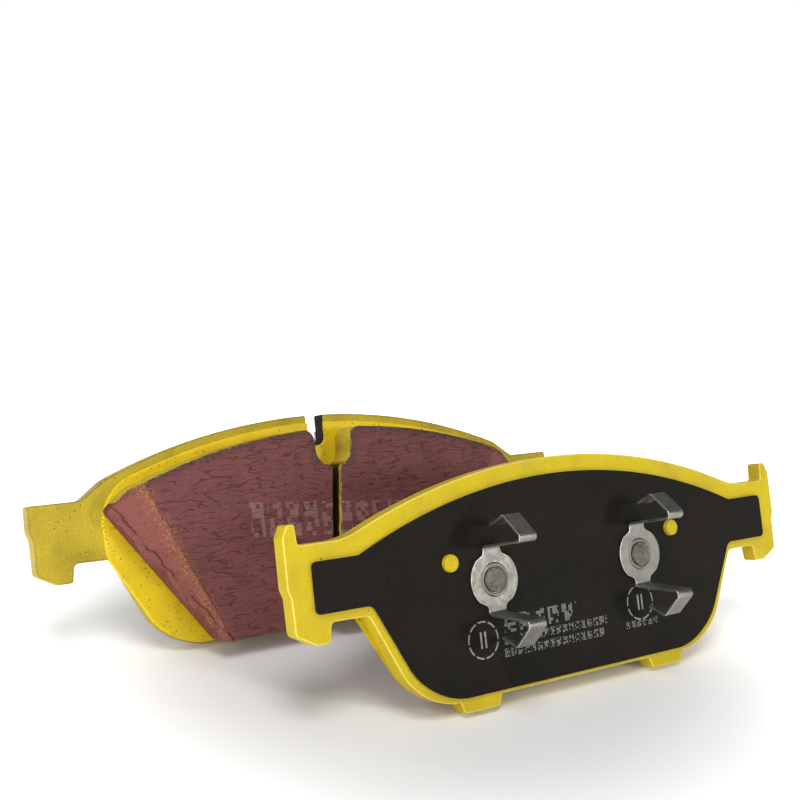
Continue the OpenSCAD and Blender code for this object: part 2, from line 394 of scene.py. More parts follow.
class Graph:
    """Short hand for wiring one node tree."""

    def __init__(self, tree: bpy.types.NodeTree) -> None:
        """Takes the tree to wire."""
        self.tree = tree

    def feed(self, socket: Socket, value: Wire) -> None:
        """Links a socket to another one, or sets its value.

        Args:
            socket: input to feed.
            value: output to link, or the value.
        """
        if isinstance(value, bpy.types.NodeSocket):
            self.tree.links.new(value, socket)
        elif socket.type == "RGBA":
            socket.default_value = (*tuple(value)[:3], 1.0)
        else:
            socket.default_value = value

    def node(self, kind: str, inputs: dict | None = None, **settings) -> bpy.types.Node:
        """Adds a node.

        Args:
            kind: node type without its ShaderNode prefix.
            inputs: socket names or numbers with their values.
            settings: properties of the node.

        Returns:
            The node.
        """
        made = self.tree.nodes.new("ShaderNode" + kind)
        for key, value in settings.items():
            setattr(made, key, value)
        for key, value in (inputs or {}).items():
            self.feed(made.inputs[key], value)
        return made

    def math(self, operation: str, a: Wire, b: Wire = 0.0) -> Socket:
        """Output of a Math node."""
        return self.node("Math", {0: a, 1: b}, operation=operation).outputs[0]

    def times(self, a: Wire, b: Wire) -> Socket:
        """Product of two values."""
        return self.math("MULTIPLY", a, b)

    def plus(self, a: Wire, b: Wire) -> Socket:
        """Sum of two values."""
        return self.math("ADD", a, b)

    def minus(self, a: Wire, b: Wire) -> Socket:
        """Difference of two values."""
        return self.math("SUBTRACT", a, b)

    def size(self, value: Wire) -> Socket:
        """Value without its sign."""
        return self.math("ABSOLUTE", value)

    def reach(self, a: Wire, b: Wire) -> Socket:
        """Length of the vector (a, b)."""
        return self.math("SQRT", self.plus(self.times(a, a), self.times(b, b)))

    def stray(self, vector: Wire, scale: float, span: float, rough: float = 0.6) -> Socket:
        """Noise that wanders evenly to both sides of 0, over a span."""
        return self.times(self.minus(self.noise(vector, scale, 3.0, rough), 0.5), span)

    def steps(self, value: Wire, low: Wire, high: Wire, start: float = 0.0,
              end: float = 1.0) -> Socket:
        """Smooth ramp of a value between two limits.

        Args:
            value: value to ramp.
            low: where the ramp starts.
            high: where it ends, which may lie below its start.
            start: output at the start.
            end: output at the end.

        Returns:
            The ramp's output.
        """
        return self.node("MapRange", {"Value": value, "From Min": low, "From Max": high,
                                      "To Min": start, "To Max": end},
                         interpolation_type="SMOOTHSTEP").outputs[0]

    def mix(self, factor: Wire, a: Wire, b: Wire) -> Socket:
        """Mixes two colours.

        Args:
            factor: share of the second colour.
            a: first colour.
            b: second colour.

        Returns:
            The mixed colour.
        """
        made = self.tree.nodes.new("ShaderNodeMix")
        made.data_type = "RGBA"
        for key, value in ((0, factor), (6, a), (7, b)):
            self.feed(made.inputs[key], value)
        return made.outputs[2]

    def noise(self, vector: Wire, scale: Wire, detail: float = 3.0,
              rough: float = 0.5) -> Socket:
        """Noise value at a scale in features per millimetre."""
        return self.node("TexNoise", {"Vector": vector, "Scale": scale, "Detail": detail,
                                      "Roughness": rough}).outputs[0]

    def apart(self, vector: Wire) -> tuple[Socket, Socket, Socket]:
        """X, Y and Z of a vector."""
        return tuple(self.node("SeparateXYZ", {0: vector}).outputs)

    def both(self, *masks: Wire) -> Socket:
        """Product of several masks."""
        return reduce(self.times, masks)

    def window(self, value: Wire, low: float, high: float, edge: float) -> Socket:
        """1 where a value lies between two limits, with edges of a half width."""
        return self.both(self.steps(value, low - edge, low + edge),
                         self.steps(value, high + edge, high - edge))

    def pad_vector(self, place: PadFrame) -> Socket:
        """Turns Object coordinates into pad millimetres.

        Args:
            place: frame of the pad.

        Returns:
            The vector in pad millimetres.
        """
        coord = self.node("TexCoord")
        mapping = self.node("Mapping", {"Vector": coord.outputs["Object"]},
                            vector_type="TEXTURE")
        mapping.inputs["Location"].default_value = place.origin
        mapping.inputs["Rotation"].default_value = (-place.lean, 0, 0)
        mapping.inputs["Scale"].default_value = (MM, MM, MM)
        return mapping.outputs["Vector"]

    def effect(self, group: bpy.types.NodeTree, **inputs: Wire) -> Socket:
        """Places a shared effect with its own values.

        Args:
            group: the effect.
            inputs: its socket names with their values.

        Returns:
            Its first output.
        """
        return self.node("Group", inputs, node_tree=group).outputs[0]


class EffectShelf:
    """Shared shader effects, each built once."""

    DOT_PITCH = 0.46  # distance between the dots of a printed mark

    def __init__(self) -> None:
        """Builds every effect."""
        self.mottle = self._mottle()
        self.pinholes = self._pinholes()
        self.peel = self._peel()
        self.wrinkles = self._wrinkles()
        self.specks = self._specks()
        self.print_row = self._print_row()

    @staticmethod
    def _start(name: str, inputs: dict[str, str], outputs: dict[str, str]
               ) -> tuple[bpy.types.NodeTree, Graph, dict[str, Socket], bpy.types.Node]:
        """Opens a group with named sockets.

        Args:
            name: name of the effect.
            inputs: input names and kinds.
            outputs: output names and kinds.

        Returns:
            The group, its graph, its inputs by name and its output node.
        """
        group = bpy.data.node_groups.new(name, "ShaderNodeTree")
        for way, sockets in (("INPUT", inputs), ("OUTPUT", outputs)):
            for key, kind in sockets.items():
                group.interface.new_socket(key, in_out=way, socket_type="NodeSocket" + kind)
        entry = group.nodes.new("NodeGroupInput")
        leave = group.nodes.new("NodeGroupOutput")
        given = {socket.name: socket for socket in entry.outputs if socket.name}
        return group, Graph(group), given, leave

    def _mottle(self) -> bpy.types.NodeTree:
        """Builds the uneven tone of a sprayed or moulded colour.

        Returns:
            The group.
        """
        group, g, given, leave = self._start(
            "uneven_tone",
            {"Vector": "Vector", "Colour": "Color", "Shade": "Color", "Glow": "Color",
             "Patches": "Float", "Amount": "Float"}, {"Colour": "Color"})
        wide = g.steps(g.noise(given["Vector"], given["Patches"], 3.0, 0.55), 0.38, 0.66)
        fine = g.steps(g.noise(given["Vector"], 1.7, 2.0, 0.6), 0.35, 0.75)
        shaded = g.mix(g.times(wide, given["Amount"]), given["Colour"], given["Shade"])
        glow = g.times(fine, g.times(given["Amount"], 0.45))
        g.feed(leave.inputs[0], g.mix(glow, shaded, given["Glow"]))
        return group

    def _pinholes(self) -> bpy.types.NodeTree:
        """Builds sparse small pits, one at most in each cell.

        Returns:
            The group.
        """
        group, g, given, leave = self._start(
            "pinholes", {"Vector": "Vector", "Cell": "Float", "Share": "Float",
                         "Radius": "Float"}, {"Mask": "Float"})
        cells = g.node("TexVoronoi", {"Vector": given["Vector"],
                                      "Scale": g.math("DIVIDE", 1.0, given["Cell"])})
        away = g.times(cells.outputs["Distance"], given["Cell"])
        pick = g.apart(cells.outputs["Color"])[0]
        inside = g.steps(away, given["Radius"], g.times(given["Radius"], 0.55))
        g.feed(leave.inputs[0], g.both(inside, g.math("LESS_THAN", pick, given["Share"])))
        return group

    def _peel(self) -> bpy.types.NodeTree:
        """Builds the orange peel and fine grain of powder coat, as a height.

        Returns:
            The group.
        """
        group, g, given, leave = self._start(
            "orange_peel", {"Vector": "Vector", "Waves": "Float", "Grain": "Float"},
            {"Height": "Float"})
        waves = g.noise(given["Vector"], 0.9, 2.0, 0.45)
        grain = g.noise(given["Vector"], 3.4, 3.0, 0.65)
        g.feed(leave.inputs[0], g.plus(g.times(waves, given["Waves"]),
                                       g.times(grain, given["Grain"])))
        return group

    def _wrinkles(self) -> bpy.types.NodeTree:
        """Builds broken shallow cracks that run along the pad.

        Returns:
            The group.
        """
        group, g, given, leave = self._start(
            "wrinkles", {"Vector": "Vector", "Amount": "Float"},
            {"Mask": "Float", "Height": "Float"})
        drift = g.node("TexNoise", {"Vector": given["Vector"], "Scale": 0.11, "Detail": 2.0})
        push = g.node("VectorMath", {0: drift.outputs["Color"], 1: (0.5, 0.5, 0.5)},
                      operation="SUBTRACT").outputs[0]
        warped = g.node("VectorMath", {0: push, 1: (7.0, 4.0, 5.0), 2: given["Vector"]},
                        operation="MULTIPLY_ADD").outputs[0]
        laid = g.node("Mapping", {"Vector": warped})
        laid.inputs["Rotation"].default_value = (0, 0.14, 0)
        laid.inputs["Scale"].default_value = (0.085, 0.40, 0.62)
        cells = g.node("TexVoronoi", {"Vector": laid.outputs[0], "Scale": 1.0},
                       feature="DISTANCE_TO_EDGE").outputs["Distance"]
        line = g.steps(cells, 0.042, 0.008)
        broken = g.steps(g.noise(given["Vector"], 0.34, 3.0, 0.6), 0.43, 0.53)
        mask = g.both(line, broken, given["Amount"])
        swell = g.noise(warped, 0.35, 2.0, 0.5)
        g.feed(leave.inputs[0], mask)
        g.feed(leave.inputs[1], g.minus(g.times(swell, 0.5), g.times(mask, 0.55)))
        return group

    def _specks(self) -> bpy.types.NodeTree:
        """Builds scattered grains, fewer at a higher level.

        Returns:
            The group.
        """
        group, g, given, leave = self._start(
            "specks", {"Vector": "Vector", "Scale": "Float", "Level": "Float"},
            {"Mask": "Float"})
        grain = g.noise(given["Vector"], given["Scale"], 2.0, 0.7)
        g.feed(leave.inputs[0], g.steps(grain, given["Level"], g.plus(given["Level"], 0.06)))
        return group

    def _print_row(self) -> bpy.types.NodeTree:
        """Builds a row of dotted marks that spell nothing.

        Returns:
            The group.
        """
        group, g, given, leave = self._start(
            "print_row",
            {"Vector": "Vector", "Left": "Float", "Base": "Float", "Rise": "Float",
             "Length": "Float", "Height": "Float", "Pitch": "Float", "Stroke": "Float"},
            {"Mask": "Float"})
        x, _, z = g.apart(given["Vector"])
        along = g.minus(x, given["Left"])
        up = g.minus(g.minus(z, given["Base"]), g.times(along, given["Rise"]))
        within = g.math("FRACT", g.math("DIVIDE", along, given["Pitch"]))
        gap = g.both(g.math("GREATER_THAN", within, 0.12), g.math("LESS_THAN", within, 0.86))
        rows = g.math("FLOOR", g.math("DIVIDE", up, given["Stroke"]))
        columns = g.math("FLOOR", g.math("DIVIDE", along, given["Stroke"]))
        cell = g.node("CombineXYZ", {0: columns, 1: rows, 2: given["Pitch"]}).outputs[0]
        lit = g.math("GREATER_THAN",
                     g.node("TexWhiteNoise", {"Vector": cell}).outputs["Value"], 0.42)
        dots = [g.size(g.minus(g.math("FRACT", g.math("DIVIDE", value, self.DOT_PITCH)), 0.5))
                for value in (along, up)]
        dot = g.steps(g.math("MAXIMUM", *dots), 0.46, 0.28)
        inside = g.both(g.math("GREATER_THAN", along, 0.0),
                        g.math("LESS_THAN", along, given["Length"]),
                        g.math("GREATER_THAN", up, 0.0),
                        g.math("LESS_THAN", up, given["Height"]))
        g.feed(leave.inputs[0], g.both(inside, gap, lit, dot))
        return group


# ---- finishes ----------------------------------------------------------------


@dataclass(frozen=True)
class PrintRow:
    """One row of unreadable dotted marks on a face."""

    left: float
    base: float
    length: float
    height: float
    pitch: float
    stroke: float
    rise: float = 0.0

    def mask(self, g: Graph, shelf: EffectShelf, vector: Wire) -> Socket:
        """Places the row in a material.

        Args:
            g: graph of the material.
            shelf: shared effects.
            vector: pad millimetres.

        Returns:
            The row's mask.
        """
        return g.effect(shelf.print_row, Vector=vector, Left=self.left, Base=self.base,
                        Rise=self.rise, Length=self.length, Height=self.height,
                        Pitch=self.pitch, Stroke=self.stroke)


@dataclass(frozen=True)
class PrintRing:
    """A dotted ring with two bars inside."""

    x: float
    z: float
    radius: float
    half_line: float = 0.22
    dashes: float = 9.0
    bar_share: float = 0.45

    def mask(self, g: Graph, vector: Wire) -> Socket:
        """Draws the ring in a material.

        Args:
            g: graph of the material.
            vector: pad millimetres.

        Returns:
            The ring's mask.
        """
        x, _, z = g.apart(vector)
        dx, dz = g.minus(x, self.x), g.minus(z, self.z)
        ring = g.window(g.reach(dx, dz), self.radius - self.half_line,
                        self.radius + self.half_line, 0.12)
        turn = g.times(g.math("ARCTAN2", dz, dx), self.dashes)
        broken = g.steps(g.math("SINE", turn), -0.9, -0.6)
        tall = self.radius * self.bar_share
        bars = g.both(g.window(g.size(dx), 0.5, 1.1, 0.1), g.window(dz, -tall, tall, 0.1))
        return g.math("MAXIMUM", g.both(ring, broken), bars)


class Finish:
    """Base of the finishes: opens a material and closes it on a Principled shader."""

    def material(self, name: str, place: PadFrame, shelf: EffectShelf) -> bpy.types.Material:
        """Builds the material, which each finish does in its own way."""
        raise NotImplementedError

    def open(self, name: str, place: PadFrame) -> tuple[bpy.types.Material, Graph, Wire]:
        """Starts a node material.

        Args:
            name: name of the material.
            place: frame whose millimetres the patterns follow.

        Returns:
            The material, its graph and the pad vector.
        """
        made = bpy.data.materials.new(name)
        made.use_nodes = True
        made.node_tree.nodes.clear()
        graph = Graph(made.node_tree)
        return made, graph, graph.pad_vector(place)

    def close(self, g: Graph, colour: Wire, roughness: Wire, height: Wire,
              depth: float, **constant: float) -> None:
        """Ends a material with its shader and its bump.

        Args:
            g: graph of the material.
            colour: base colour.
            roughness: roughness.
            height: bump height, from 0 to 1.
            depth: real depth of the bump in millimetres.
            constant: other shader sockets, spaces written as underscores.
        """
        bump = g.node("Bump", {"Height": height, "Strength": 1.0, "Distance": depth * MM})
        shader = g.node("BsdfPrincipled", {"Base Color": colour, "Roughness": roughness,
                                           "Normal": bump.outputs[0]})
        for key, value in constant.items():
            shader.inputs[key.replace("_", " ")].default_value = value
        out = g.node("OutputMaterial")
        g.tree.links.new(shader.outputs[0], out.inputs[0])


@dataclass(frozen=True)
class CoatFinish(Finish):
    """Yellow powder coat over steel."""

    colour: Colour = (0.66, 0.495, 0.010)
    shade: Colour = (0.53, 0.385, 0.020)
    glow: Colour = (0.78, 0.61, 0.045)
    pit: Colour = (0.11, 0.07, 0.02)
    black: Colour = (0.008, 0.006, 0.004)
    amount: float = 0.55
    pit_share: float = 0.10
    pit_radius: float = 0.36
    pit_cell: float = 2.2
    grain: float = 0.35
    waves: float = 0.65
    depth: float = 0.10
    gloss: tuple[float, float] = (0.36, 0.50)
    shine: float = 0.15
    dotted_line: bool = False
    slot_shade_depth: float | None = None

    def material(self, name: str, place: PadFrame, shelf: EffectShelf) -> bpy.types.Material:
        """Builds the coat.

        Args:
            name: name of the material.
            place: frame of the pad.
            shelf: shared effects.

        Returns:
            The material.
        """
        made, g, vector = self.open(name, place)
        tone = g.effect(shelf.mottle, Vector=vector, Colour=self.colour, Shade=self.shade,
                        Glow=self.glow, Patches=0.07, Amount=self.amount)
        pits = g.effect(shelf.pinholes, Vector=vector, Cell=self.pit_cell,
                        Share=self.pit_share, Radius=self.pit_radius)
        grit = g.effect(shelf.specks, Vector=vector, Scale=1.5, Level=0.60)
        colour = g.mix(g.times(grit, self.grain * 0.8), tone, self.shade)
        colour = g.mix(g.times(pits, 0.9), colour, self.pit)
        x, y, z = g.apart(vector)
        if self.dotted_line:
            lift = g.minus(z, 1.0)
            bow = g.plus(g.size(x), g.times(g.times(lift, lift), 0.022))
            line = g.window(bow, 74.7, 75.0, 0.2)
            dots = g.steps(g.math("SINE", g.times(z, 5.2)), 0.1, 0.6)
            tall = g.window(z, -10.0, 12.0, 0.6)
            colour = g.mix(g.both(line, dots, tall, 0.75), colour, self.pit)
        # painted shade: the coat turns black deep inside the slot, where shadow falls
        if self.slot_shade_depth is not None:
            depth = g.plus(y, g.stray(vector, 0.5, 1.6))
            deep = g.both(g.steps(depth, self.slot_shade_depth, self.slot_shade_depth + 0.5),
                          g.steps(z, 12.0, 10.5), g.window(x, -9.0, 9.0, 0.05))
            colour = g.mix(g.times(deep, 0.96), colour, self.black)
        peel = g.effect(shelf.peel, Vector=vector, Waves=self.waves, Grain=self.grain)
        height = g.minus(peel, g.times(pits, 1.4))
        roughness = g.steps(g.noise(vector, 0.6, 2.0), 0.3, 0.7, *self.gloss)
        self.close(g, colour, roughness, height, self.depth, Specular_IOR_Level=self.shine)
        return made


@dataclass(frozen=True)
class LiningFinish(Finish):
    """Burgundy friction material with its wrinkles, bevel and rim, and a painted shade line along
    the end lip.
    """

    drop: float
    colour: Colour = (0.195, 0.062, 0.060)
    shade: Colour = (0.135, 0.044, 0.045)
    glow: Colour = (0.27, 0.105, 0.10)
    bevel: Colour = (0.29, 0.088, 0.076)
    gold: Colour = (0.56, 0.27, 0.06)
    crack: Colour = (0.055, 0.018, 0.018)
    rim: Colour = (0.065, 0.045, 0.038)
    pale: Colour = (0.48, 0.30, 0.20)
    ember: Colour = (0.37, 0.115, 0.060)
    soot: Colour = (0.07, 0.05, 0.04)
    ink: Colour = (0.52, 0.36, 0.33)
    marks: tuple[PrintRow, ...] = ()
    creased: float = 1.0
    speckled: float = 1.0
    notched: float = 0.0

    def material(self, name: str, place: PadFrame, shelf: EffectShelf) -> bpy.types.Material:
        """Builds the friction material.

        Args:
            name: name of the material.
            place: frame of the pad.
            shelf: shared effects.

        Returns:
            The material.
        """
        made, g, vector = self.open(name, place)
        x, _, z = g.apart(vector)
        wide = g.size(x)
        past = g.minus(g.times(g.minus(wide, 41.4), 0.9063),
                       g.times(g.plus(z, self.drop), 0.4226))
        bevel = g.steps(g.plus(past, g.stray(vector, 0.8, 2.2)), -0.5, 0.7)
        # crease along the end lip: a dent in the bump and a painted shade line in the colour
        run = math.hypot(31.6, 3.9 + self.drop)
        inward = g.minus(g.times(g.minus(z, 3.9), 31.6 / run),
                         g.times(g.minus(wide, 75.2), (3.9 + self.drop) / run))
        wavy = g.plus(inward, g.stray(vector, 0.22, 3.4))
        crease = g.both(g.window(wavy, 1.3, 1.75, 0.3),
                        g.steps(g.noise(vector, 0.12, 2.0), 0.36, 0.5), self.creased)
        tone = g.effect(shelf.mottle, Vector=vector, Colour=self.colour, Shade=self.shade,
                        Glow=self.glow, Patches=0.11, Amount=0.55)
        tone = g.mix(bevel, tone, self.bevel)
        cracks = g.node("Group", {"Vector": vector,
                                  "Amount": g.minus(1.0, g.times(bevel, 0.6))},
                        node_tree=shelf.wrinkles).outputs
        tone = g.mix(g.times(cracks["Mask"], 0.62), tone, self.crack)
        high = g.steps(g.reach(x, g.plus(z, 162.2)), 182.2, 184.2)
        beside = g.both(g.steps(wide, 9.6, 6.8), g.steps(z, 9.0, 12.0), self.notched)
        rim = g.both(g.math("MAXIMUM", high, beside),
                     g.steps(g.noise(vector, 1.5, 3.0, 0.7), 0.40, 0.52))
        tone = g.mix(g.times(rim, 0.8), tone, self.rim)
        pale = g.effect(shelf.specks, Vector=vector, Scale=2.6, Level=0.72)
        tone = g.mix(g.times(pale, 0.5), tone, self.pale)
        near = g.both(g.steps(past, -2.4, 0.2), g.steps(past, 11.0, 1.0, 0.12, 1.0))
        level = g.steps(g.size(g.minus(past, 0.9)), 0.4, 5.0, 0.535, 0.64)
        flecks = g.effect(shelf.specks, Vector=vector, Scale=1.9, Level=level)
        embers = g.effect(shelf.specks, Vector=vector, Scale=1.1, Level=0.52)
        # flecks fade towards the right end: painted shade on that side
        lit = g.steps(x, 20.0, 40.0, 1.0, 0.25)
        tone = g.mix(g.both(near, embers, 0.75), tone, self.ember)
        tone = g.mix(g.both(near, flecks, lit, 0.75 * self.speckled), tone, self.gold)
        # painted shade along the end lip's crease
        tone = g.mix(g.times(crease, 0.85), tone, self.crack)
        soot = g.effect(shelf.specks, Vector=vector, Scale=1.9, Level=0.58)
        seam = g.both(g.steps(past, -3.0, -0.8), g.steps(past, 1.2, 0.0), soot)
        tone = g.mix(g.times(seam, 0.8), tone, self.soot)
        for row in self.marks:
            tone = g.mix(g.times(row.mask(g, shelf, vector), 0.5), tone, self.ink)
        grain = g.noise(vector, 2.2, 4.0, 0.7)
        lumps = g.times(g.noise(vector, 0.7, 4.0, 0.65), g.times(bevel, 2.6))
        height = g.plus(g.plus(cracks["Height"], lumps), g.minus(g.times(grain, 0.5), crease))
        roughness = g.steps(grain, 0.3, 0.7, 0.50, 0.70)
        self.close(g, tone, roughness, height, 0.42, Specular_IOR_Level=0.35)
        return made


@dataclass(frozen=True)
class RubberFinish(Finish):
    """Black rubber face of a shim, with faint printed marks."""

    marks: tuple[PrintRow, ...] = ()
    rings: tuple[PrintRing, ...] = ()
    colour: Colour = (0.0098, 0.0076, 0.0047)
    shade: Colour = (0.0070, 0.0056, 0.0037)
    glow: Colour = (0.016, 0.013, 0.009)
    row_ink: Colour = (0.38, 0.37, 0.34)
    ring_ink: Colour = (0.40, 0.39, 0.36)

    def material(self, name: str, place: PadFrame, shelf: EffectShelf) -> bpy.types.Material:
        """Builds the rubber face.

        Args:
            name: name of the material.
            place: frame of the pad.
            shelf: shared effects.

        Returns:
            The material.
        """
        made, g, vector = self.open(name, place)
        tone = g.effect(shelf.mottle, Vector=vector, Colour=self.colour, Shade=self.shade,
                        Glow=self.glow, Patches=0.04, Amount=0.8)
        worn = g.steps(g.noise(vector, 0.9, 3.0, 0.6), 0.3, 0.5, 0.55, 1.0)
        for row in self.marks:
            tone = g.mix(g.both(row.mask(g, shelf, vector), worn, 0.8), tone, self.row_ink)
        for ring in self.rings:
            tone = g.mix(g.both(ring.mask(g, vector), worn, 0.85), tone, self.ring_ink)
        grain = g.noise(vector, 3.0, 3.0, 0.6)
        roughness = g.steps(g.noise(vector, 0.5, 3.0), 0.3, 0.7, 0.60, 0.68)
        self.close(g, tone, roughness, grain, 0.02, Specular_IOR_Level=0.14)
        return made


@dataclass(frozen=True)
class SteelFinish(Finish):
    """Bare or plated steel with a satin grain."""

    colour: Colour = (0.52, 0.51, 0.46)
    shade: Colour = (0.40, 0.39, 0.34)
    roughness: tuple[float, float] = (0.34, 0.48)
    depth: float = 0.02
    grain: float = 2.8
    dirt: float = 0.15
    grime: Colour = (0.10, 0.09, 0.07)

    def material(self, name: str, place: PadFrame, shelf: EffectShelf) -> bpy.types.Material:
        """Builds the steel.

        Args:
            name: name of the material.
            place: frame of the pad.
            shelf: shared effects.

        Returns:
            The material.
        """
        made, g, vector = self.open(name, place)
        tone = g.effect(shelf.mottle, Vector=vector, Colour=self.colour, Shade=self.shade,
                        Glow=tuple(min(1.0, c * 1.25) for c in self.colour), Patches=0.22,
                        Amount=0.8)
        grime = g.effect(shelf.specks, Vector=vector, Scale=self.grain, Level=0.56)
        tone = g.mix(g.times(grime, self.dirt), tone, self.grime)
        grain = g.noise(vector, self.grain, 4.0, 0.7)
        roughness = g.steps(g.noise(vector, 0.8, 3.0), 0.3, 0.7, *self.roughness)
        self.close(g, tone, roughness, grain, self.depth, Metallic=1.0)
        return made


# ---- pads --------------------------------------------------------------------


@dataclass
class BrakePad:
    """What both pads share: plate, land, two lining blocks and a shim."""

    place: PadFrame
    shelf: EffectShelf
    body: str = "inner_pad"
    word: str = "inner"
    lining_drop: float = 38.2
    half_width: float = 96.5
    plate_thickness: float = 5.5
    arch_radius: float = 190.0
    arch_top: float = 27.8
    bottom_drop: float = 39.8
    lining_side: float = 1.0
    land_thickness: float = 1.0
    lining_thickness: float = 11.0
    lining_radius: float = 185.0
    lining_top: float = 22.8
    slot_half: float = 1.41
    slot_tilt: float = 6.4
    bevel_lean: float = 20.0
    bevel_rise: float = 25.0
    bevel_foot: float = 41.4
    lining_end: Corner = Corner(75.2, 3.9, 1.5)
    lining_foot: float = 43.6
    shim_core: float = 0.6
    shim_thickness: float = 1.0
    shim_radius: float = 178.0
    shim_top: float = 22.6
    rubber_inset: float = 0.3
    rubber_rim: float = 0.14
    pip_x: float = 44.4
    pip_z: float = 0.3
    pip_radius: float = 2.6
    pip_height: float = 2.7
    notch_width: float = 6.0
    notch_depth: float = 10.2
    notch_lip: float = 0.8
    land_top: float = 25.4
    land_edge: float = 62.0

    def dress(self, name: str, finish: Finish) -> bpy.types.Material:
        """Builds a finish on this pad, under the pad's name."""
        return finish.material(f"{self.word}_{name}", self.place, self.shelf)

    def depth(self, from_lining_side: float) -> float:
        """Depth at a distance from the plate's lining side, towards the disc."""
        base = self.plate_thickness if self.lining_side > 0 else 0.0
        return base + self.lining_side * from_lining_side

    def shim_depth(self, from_plate: float) -> float:
        """Depth at a distance behind the plate's piston side."""
        base = 0.0 if self.lining_side > 0 else self.plate_thickness
        return base - self.lining_side * from_plate

    def place_piece(self, piece: bpy.types.Object, node: str, slot: Slot) -> None:
        """Rides a piece on its pad and stands it for its CAD node.

        Args:
            piece: the finished piece.
            node: CAD node that it replaces.
            slot: material slot of the record; not used.
        """
        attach(piece, self.body)
        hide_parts(node)

    def lower_corners(self) -> list[Corner]:
        """Hook, arm and lower corner of the right-hand side.

        Returns:
            Their corners, from the hook's top downwards.
        """
        w = self.half_width
        return [Corner(w, 0, 0.8), Corner(w - 0.9, -2.7, 0.8), Corner(w - 1.1, -12.6, 1.5),
                Corner(w - 7.1, -15.9, 1.5), Corner(85, -15.9, 0.8), Corner(84.2, -10.4, 1.5),
                Corner(72.3, -10.6, 2), Corner(57.9, -self.bottom_drop, 20.5)]

    def slot_x(self, z: float) -> float:
        """Middle of the slanted slot at a height."""
        return -0.5 + z * math.tan(math.radians(self.slot_tilt))

    def block_trace(self, side: Side, notched: bool) -> list[Corner | Arch]:
        """Outline of one lining block.

        Args:
            side: end of the pad.
            notched: whether a rounded notch opens the slot at the top.

        Returns:
            Its clockwise trace.
        """
        s, drop, half = side.value, self.lining_drop, self.slot_half
        mouth = 10.3 if notched else height_on(self.lining_radius, self.lining_top, 2) - 0.2
        reach = self.slot_x(mouth) + s * half
        if notched:
            lip = 6.8 * s
            inner = [Corner(lip, height_on(self.lining_radius, self.lining_top, lip), 3.5),
                     Corner(6.2 * s, 12.0, 4.9), Corner(reach, mouth, 1.0)]
            reach = 10.4 * s
        else:
            inner = [Corner(reach, mouth, 0.6)]
            reach = self.slot_x(mouth) + s * (half + 1.0)
        foot = Corner(self.slot_x(-drop) + s * half, -drop, 0.8)
        end = self.lining_end
        ends = [Corner(self.lining_foot * s, -drop, 2), Corner(end.x * s, end.z, end.r)]
        arch = Arch(self.lining_radius, self.lining_top, min(reach, 69.2 * s),
                    max(reach, 69.2 * s), 44)
        if side is Side.LEFT:
            return [arch, *inner, foot, *ends]
        return [arch, *reversed(ends), foot, *reversed(inner)]

    def build_block(self, side: Side, notched: bool,
                    finishes: Sequence[bpy.types.Material]) -> None:
        """Builds one lining block with its bevelled end and crumbled edges.

        Args:
            side: end of the pad.
            notched: whether a rounded notch opens the slot at the top.
            finishes: friction face, painted wall, bare end wall.
        """
        blank = Blank()
        root, face = self.depth(self.land_thickness), self.depth(self.lining_thickness)
        blank.slab(self.block_trace(side, notched), root, face)
        lean, rise = math.radians(self.bevel_lean), math.radians(self.bevel_rise)
        normal = Vector((side.value * math.cos(rise) * math.sin(lean),
                         self.lining_side * math.cos(lean),
                         -math.sin(rise) * math.sin(lean)))
        cut = bmesh.ops.bisect_plane(
            blank.bm, geom=blank.bm.verts[:] + blank.bm.edges[:] + blank.bm.faces[:],
            dist=1e-4, plane_co=(side.value * self.bevel_foot, face, -self.lining_drop),
            plane_no=normal, clear_outer=True)
        edges = [g for g in cut["geom_cut"] if isinstance(g, bmesh.types.BMEdge)]
        bmesh.ops.contextual_create(blank.bm, geom=edges)
        bmesh.ops.recalc_face_normals(blank.bm, faces=blank.bm.faces)
        rim = [edge for edge in blank.bm.edges if edge.calc_face_angle(0.0) > 0.75
               and any(f.normal.y * self.lining_side > 0.5 for f in edge.link_faces)]
        bmesh.ops.bevel(blank.bm, geom=rim, offset=0.35, offset_type="OFFSET", segments=2,
                        profile=0.5, affect="EDGES", clamp_overlap=True, material=-1)
        blank.slice_grid(1.15)
        self.crumble(blank, side, root)
        self.paint_walls(blank, notched)
        piece = blank.piece(f"{self.word}_lining_{side.word}", self.place, finishes,
                            crisp=60, weighted=False)
        self.place_piece(piece, f"{self.word}_friction_{side.word}", Slot.LINING)

    def crumble(self, blank: Blank, side: Side, root: float) -> None:
        """Roughens a block: its rims break away a little and its end lip waves.

        Args:
            blank: the block, already cut into a grid.
            side: end of the pad.
            root: depth of the face that stays flat against the land.
        """
        blank.bm.normal_update()
        moves = []
        end = self.lining_end
        fall = Vector((end.z + self.lining_drop, end.x - self.lining_foot)).normalized()
        for vert in blank.bm.verts:
            if abs(vert.co.y - root) < 0.3:
                continue
            at = vert.co + Vector((40 * side.value, 0, 90))
            rim = max(0.0, 1.0 - abs(abs(vert.normal.y) - 0.62) / 0.33)
            chip = max(0.0, noise.noise(at * 0.55) + 0.15) + 0.5 * max(0.0, noise.noise(at * 1.6))
            away = -rim * 0.55 * chip + 0.05 * noise.noise(at * 1.1)
            inward = (vert.co.z - end.z) * fall.y - (abs(vert.co.x) - end.x) * fall.x
            near = math.exp(-(inward / 2.6) ** 2) * min(1.0, abs(vert.co.y - root) / 4.0)
            wave = 1.25 * noise.noise(at * 0.13) + 0.75 * noise.noise(at * 0.4)
            wave += 0.3 * noise.noise(at * 1.3) + 0.35
            out = Vector((side.value * fall.x, 0.35 * self.lining_side, -fall.y))
            moves.append((vert, vert.normal * away + out * near * wave))
        for vert, move in moves:
            vert.co += move

